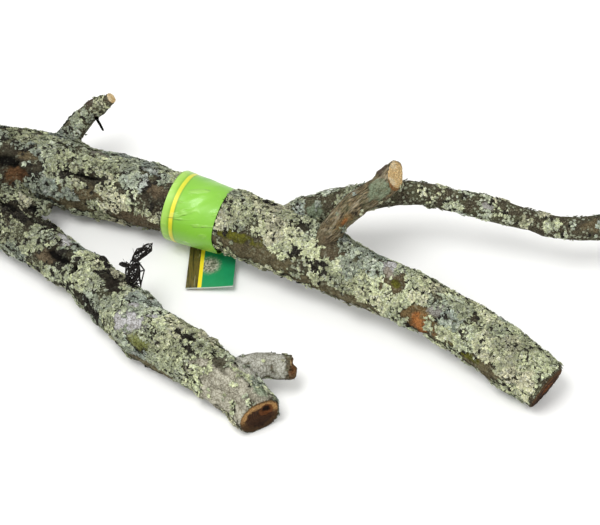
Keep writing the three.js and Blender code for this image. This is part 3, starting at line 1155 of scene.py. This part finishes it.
def bark_material():
    # Fruit-tree bark, weathered: grey-brown, scaly and matt, with algae and crusts of pale lichen
    # in specks, painted shade in its crease and darkening marks, and dry sawn wood with rings on its ends,
    # their tan rims a painted highlight on the upper, lit side.
    material, tree = new_material("weathered_fruit_tree_bark")
    tone = attribute(tree, "tone")
    sawn_at = attribute(tree, "sawn")
    pith_cm, rot, away = channels(tree, sawn_at["Color"])
    lichen_here, fibrous, _ = channels(tree, attribute(tree, "crust")["Color"])
    fine = noise(tree, 1.1 * MM, 4, 0.65)
    broad = noise(tree, 9 * MM, 3)
    run = attribute(tree, "run")["Vector"]
    streaks = noise(tree, 22 * MM, 4, 0.7, run)
    threads = noise(tree, 9 * MM, 3, 0.7, run)
    colour = ramp(tree, fine, {0.3: "#15130f", 0.46: "#332e25", 0.58: "#5d5745", 0.75: "#9b9680"})
    colour = mix(tree, stretch(tree, streaks, 0.42, 0.6, 0.0, 0.75), colour, "#2a251e")
    fibre = ramp(tree, threads, {
        0.34: "#17130e", 0.45: "#40382b", 0.54: "#6a614a", 0.63: "#806a4a", 0.74: "#b2a88e",
    })
    fibre = mix(tree, stretch(tree, streaks, 0.5, 0.64, 0.0, 0.6), fibre, "#aaa189")
    colour = mix(tree, fibrous, colour, fibre)
    algae = stretch(tree, broad, 0.45, 0.62, 0.0, 0.5)
    colour = mix(tree, algae, colour, mix(tree, 0.5, colour, "#5f6649"))
    place = object_place(tree)
    specks = add(tree, "ShaderNodeTexVoronoi", {"Vector": place}, inputs={"Scale": 1 / (2.6 * MM)})
    crust = stretch(tree, specks.outputs["Distance"], 0.5, 0.32)
    crust = times(tree, crust, stretch(tree, noise(tree, 5 * MM, 2), 0.48, 0.56))
    crust = times(tree, crust, stretch(tree, fibrous, 0.6, 0.2))
    colour = mix(tree, times(tree, crust, 0.8), colour, "#9ea48c")
    film = times(tree, stretch(tree, lichen_here, 0.25, 0.8), stretch(tree, fine, 0.48, 0.6))
    film_colour = mix(tree, stretch(tree, fine, 0.45, 0.7), "#5f624c", "#979b80")
    colour = mix(tree, times(tree, film, 0.6), colour, film_colour)
    rough_edge = stretch(tree, fine, 0.3, 0.6, 0.85, 1.0)
    marked = times(tree, tone["Alpha"], rough_edge)
    cells = add(
        tree, "ShaderNodeTexVoronoi", {"Vector": place}, feature="DISTANCE_TO_EDGE",
        inputs={"Scale": 1 / (3.4 * MM)},
    ).outputs["Distance"]
    shade = mix(tree, stretch(tree, plus(tree, fine, broad), 0.75, 1.15), "#b0aea8", "#ffffff")
    between = mix(tree, 1.0, shade, "#bab7b0", "MULTIPLY")
    shade = mix(tree, stretch(tree, cells, 0.0, 0.1), between, shade)
    toned = mix(tree, 1.0, tone["Color"], shade, "MULTIPLY")
    colour = mix(tree, marked, colour, toned)

    patches = noise(tree, 7 * MM, 3)
    rings = times(tree, pith_cm, 0.01 / RING_WIDTH * 2 * math.pi)
    rings = maths(tree, "SINE", plus(tree, rings, times(tree, broad, 14.0)))
    fresh = mix(tree, stretch(tree, rings, -0.6, 0.9), "#d0a970", "#e8d09c")
    fresh = mix(tree, stretch(tree, patches, 0.5, 0.62, 0.0, 0.5), fresh, "#f0e4c4")
    fresh = mix(tree, stretch(tree, away, 0.88, 1.04), fresh, "#8a6540")
    old = mix(tree, stretch(tree, rings, -0.6, 0.9), "#2c1c12", "#573820")
    wobble = plus(tree, away, times(tree, patches, 0.7))
    # painted highlight: the tan rim shows only on the upper, lit side of each rotted end; below its middle
    # the end is darker towards the bottom
    lit_side = stretch(tree, upward(tree), -4 * MM, 4 * MM, 0.1, 1.0)
    rim = times(tree, stretch(tree, wobble, 1.02, 1.2), lit_side)
    old = mix(tree, stretch(tree, upward(tree), 0.0, -12 * MM, 0.0, 0.6), old, "#1a110b")
    rim = times(tree, rim, stretch(tree, rot, 0.75, 0.95, 0.15, 1.0))
    old = mix(tree, rim, old, "#b58c58")
    old = mix(tree, stretch(tree, away, 0.93, 1.02), old, "#4a3a2a")
    from_pith = plus(tree, pith_cm, times(tree, patches, 0.5))
    old = mix(tree, times(tree, stretch(tree, from_pith, 1.0, 0.85), 0.8), old, "#7a4a28")
    old = mix(tree, stretch(tree, from_pith, 0.72, 0.5, 0.0, 0.95), old, "#120d09")
    wood = mix(tree, stretch(tree, rot, 0.2, 0.7), fresh, old)
    grain = mix(tree, stretch(tree, fine, 0.3, 0.65), "#a0a0a0", "#ffffff")
    wood = mix(tree, 1.0, wood, grain, "MULTIPLY")
    on_end = stretch(tree, sawn_at["Alpha"], 0.35, 0.65)
    colour = mix(tree, on_end, colour, wood)
    height = plus(tree, plus(tree, fine, threads), times(tree, crust, 0.25))
    roughness = stretch(tree, fine, 0.3, 0.7, 0.98, 0.78)
    finish_material(tree, colour, roughness, height, 0.9 * MM, **DULL)
    return material


def lichen_material():
    # Leafy (foliose) lichen, dry: matt, pale yellow-green to blue-grey lobes with a powdery, wrinkled face,
    # paler tips as the lichen has, and painted shade toward each lobe's back and middle; some lobes are dead
    # and black, and those on the darkening marks by the fork are painted black as shade.
    material, tree = new_material("dry_leafy_lichen")
    growth = attribute(tree, "growth")
    kind, chance, rim = channels(tree, growth["Color"])
    fine = noise(tree, 0.8 * MM, 3, 0.6)
    colour = ramp(tree, kind, {
        0.0: "#d2cfae", 0.3: "#c5cba0", 0.55: "#b9c1a4", 0.8: "#a6b2a4", 1.0: "#c8cac2",
    })
    colour = mix(tree, stretch(tree, noise(tree, 2.2 * MM, 2), 0.5, 0.65, 0.0, 0.6), colour, "#c9cac0")
    bright = stretch(tree, chance, 0.0, 1.0, 0.52, 1.13)
    bright = times(tree, bright, stretch(tree, fine, 0.35, 0.62, 0.5, 1.14))
    # painted shade: each lobe darker toward its back and middle, where it tucks under the lobes around it,
    # and paler at its free tip
    bright = times(tree, bright, stretch(tree, rim, 0.0, 0.9, 0.42, 1.12))
    grey = add(tree, "ShaderNodeCombineColor", {"Red": bright, "Green": bright, "Blue": bright})
    colour = mix(tree, 1.0, colour, grey.outputs["Color"], "MULTIPLY")
    dead = mix(tree, stretch(tree, fine, 0.4, 0.75), "#12110f", "#4c483f")
    # dead lobes are black, and so are lobes on the darkening marks by the fork, painted as shade
    colour = mix(tree, growth["Alpha"], colour, dead)
    finish_material(tree, colour, 0.92, fine, 0.5 * MM, **DULL)
    return material


def wrap_material():
    # Coated paper card, offset printed: lime green with a paler edge strip and a yellow line, glossy,
    # with faint scuffs, a painted highlight along its creases and painted bluish shade along its far upper
    # edge.
    material, tree = new_material("coated_lime_card")
    place, across, toward_back = printed(tree)
    at = maths(tree, "DIVIDE", across, 2 * band_half / MM)
    print_colour = ramp(tree, at, {
        0.0: "#719f31", 0.015: "#a3cc5c", 0.10: "#95c34a", 0.145: "#7aa62c",
        0.155: "#e3d62e", 0.215: "#dccd29", 0.23: "#6d9a2b", 0.26: "#7fb938", 0.6: "#82be39", 1.0: "#79b235",
    })
    scuffs = noise(tree, 3 * MM, 4, 0.7)
    colour = mix(tree, stretch(tree, scuffs, 0.6, 0.75, 0.0, 0.2), print_colour, "#c9e89a")
    colour = mix(tree, stretch(tree, noise(tree, 14 * MM, 2), 0.35, 0.65, 0.0, 0.3), colour, "#74b32c")
    # painted shade: bluish grey along the wrap's far upper edge, where the card turns away
    far_edge_shade = times(tree, stretch(tree, toward_back, 25, 29), stretch(tree, at, 0.2, 0.7))
    colour = mix(tree, times(tree, far_edge_shade, 0.75), colour, "#7f9c96")
    slanted = add(
        tree, "ShaderNodeMapping", {"Vector": place},
        inputs={"Rotation": (0, 0, math.radians(-35)), "Scale": (0.3, 1, 1)},
    ).outputs["Vector"]
    ridges = stretch(tree, noise(tree, 7.0, 2, 0.5, slanted), 0.5, 0.62)
    fold_patches = stretch(tree, noise(tree, 16 * MM, 1), 0.45, 0.6)
    folds = times(tree, ridges, fold_patches)
    # painted highlight: pale streaks along the folds' ridges
    colour = mix(tree, times(tree, folds, 0.22), colour, "#c4e08c")
    finish_material(tree, colour, 0.4, folds, 0.8 * MM, **{"Coat Weight": 0.15})
    return material


def tongue_material():
    # The same coated card printed dark green, with plain bands: mottled brown, a yellow line and a
    # soft grey round; its cut edge shows the pale board.
    material, tree = new_material("coated_dark_green_card")
    _, across, down = printed(tree)
    bands = noise(tree, 2.5 * MM, 2, place=add(
        tree, "ShaderNodeMapping", {"Vector": object_place(tree)},
        inputs={"Scale": (1.6, 0.15, 0.15)},
    ).outputs["Vector"])
    brown = ramp(tree, bands, {0.35: "#2a2413", 0.5: "#6a5a2a", 0.6: "#3a3a1c", 0.72: "#c2b48c"})
    at = maths(tree, "DIVIDE", across, tongue_width)
    green = mix(tree, noise(tree, 8 * MM, 2), "#17804c", "#1f9460")
    right = maths(tree, "SUBTRACT", across, ROUND_ACROSS)
    below = maths(tree, "SUBTRACT", down, ROUND_DOWN)
    squares = plus(tree, times(tree, right, right), times(tree, below, below))
    round_at = maths(tree, "SQRT", squares)
    fuzz = plus(tree, round_at, times(tree, noise(tree, 1.5 * MM, 3), 5.0))
    grey = mix(tree, stretch(tree, noise(tree, 1.6 * MM, 3), 0.35, 0.65), "#4b5240", "#b9b5a4")
    green = mix(tree, stretch(tree, fuzz, ROUND_SIZE[1], ROUND_SIZE[0]), green, grey)
    colour = mix(tree, maths(tree, "GREATER_THAN", at, YELLOW_TO), "#f0d92b", green)
    colour = mix(tree, maths(tree, "LESS_THAN", at, YELLOW_FROM), colour, brown)
    at_edge = maths(tree, "GREATER_THAN", down, tongue_length - CUT_EDGE)
    colour = mix(tree, at_edge, colour, "#b4bab0")
    finish_material(tree, colour, 0.32, **{"Coat Weight": 0.2})
    return material


def tuft_material():
    # Dried plant lace, black and brittle, faintly dusty.
    material, tree = new_material("dry_black_plant_fibre")
    fine = noise(tree, 1.2 * MM, 3)
    colour = ramp(tree, fine, {0.3: "#0f0d0c", 0.55: "#2a2725", 0.75: "#55514b"})
    finish_material(tree, colour, 0.85, fine, 0.3 * MM, **DULL)
    return material


bark = bark_material()
lichen = lichen_material()

for node, piece in bark_pieces.items():
    piece.data.materials.append(bark)
    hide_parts(node)
    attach(piece, "root")
for piece in lichen_pieces.values():
    piece.data.materials.append(lichen)
    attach(piece, "root")
black_fibre = tuft_material()
small_tufts.data.materials.clear()
small_tufts.data.materials.append(black_fibre)
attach(small_tufts, "root")
for piece, node, slot, material in (
    (label_wrap, "label_band", "lime_card", wrap_material()),
    (label_tongue, "label_tag", "green_card", tongue_material()),
    (tuft, "dried_tuft", "tuft", black_fibre),
):
    piece.data.materials.clear()
    piece.data.materials.append(material)
    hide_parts(node)
    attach(piece, "root")


# ------------------------------------------------------------------ camera, light and floor
LOOK_AT = Vector((50 * MM, 3 * MM, 25 * MM))
ELEVATION = math.radians(50)
DISTANCE = 1.5
LENS = 112.5  # mm
SKY = 0.84  # strength of the white world
FLOOR_SIZE = 12
FLOOR_DROP = 0.2 * MM  # keeps the floor off the undersides that lie on it
camera = bpy.data.objects.new("camera", bpy.data.cameras.new("camera"))
camera.data.lens = LENS
camera.data.sensor_width = 36
camera.location = LOOK_AT + DISTANCE * Vector((0, -math.cos(ELEVATION), math.sin(ELEVATION)))
camera.rotation_euler = (math.pi / 2 - ELEVATION, 0, 0)
bpy.context.collection.objects.link(camera)
bpy.context.scene.camera = camera


def soft_light(name, place, size, power):
    lamp = bpy.data.lights.new(name, "AREA")
    lamp.shape = "DISK"
    lamp.size = size
    lamp.energy = power
    light = bpy.data.objects.new(name, lamp)
    light.location = place
    light.rotation_euler = (LOOK_AT - Vector(place)).to_track_quat("-Z", "Y").to_euler()
    bpy.context.collection.objects.link(light)


soft_light("key_light", (-0.4, -0.4, 1.6), 0.8, 17)
soft_light("fill_light", (0.3, -1.6, 0.9), 1.2, 6)

world = bpy.data.worlds.new("studio")
world.use_nodes = True
world.node_tree.nodes["Background"].inputs["Color"].default_value = (1, 1, 1, 1)
world.node_tree.nodes["Background"].inputs["Strength"].default_value = SKY
bpy.context.scene.world = world
bpy.context.scene.view_settings.view_transform = "Standard"

activate(bark_pieces["butt"])
bpy.ops.object.select_all(action="DESELECT")
bpy.ops.mesh.primitive_plane_add(size=FLOOR_SIZE, location=(0, 0, -FLOOR_DROP))
floor = bpy.context.object
floor.name = "floor"
material, tree = new_material("white_studio_paper")
finish_material(tree, linear("#f4f4f2"), 0.9)
floor.data.materials.append(material)
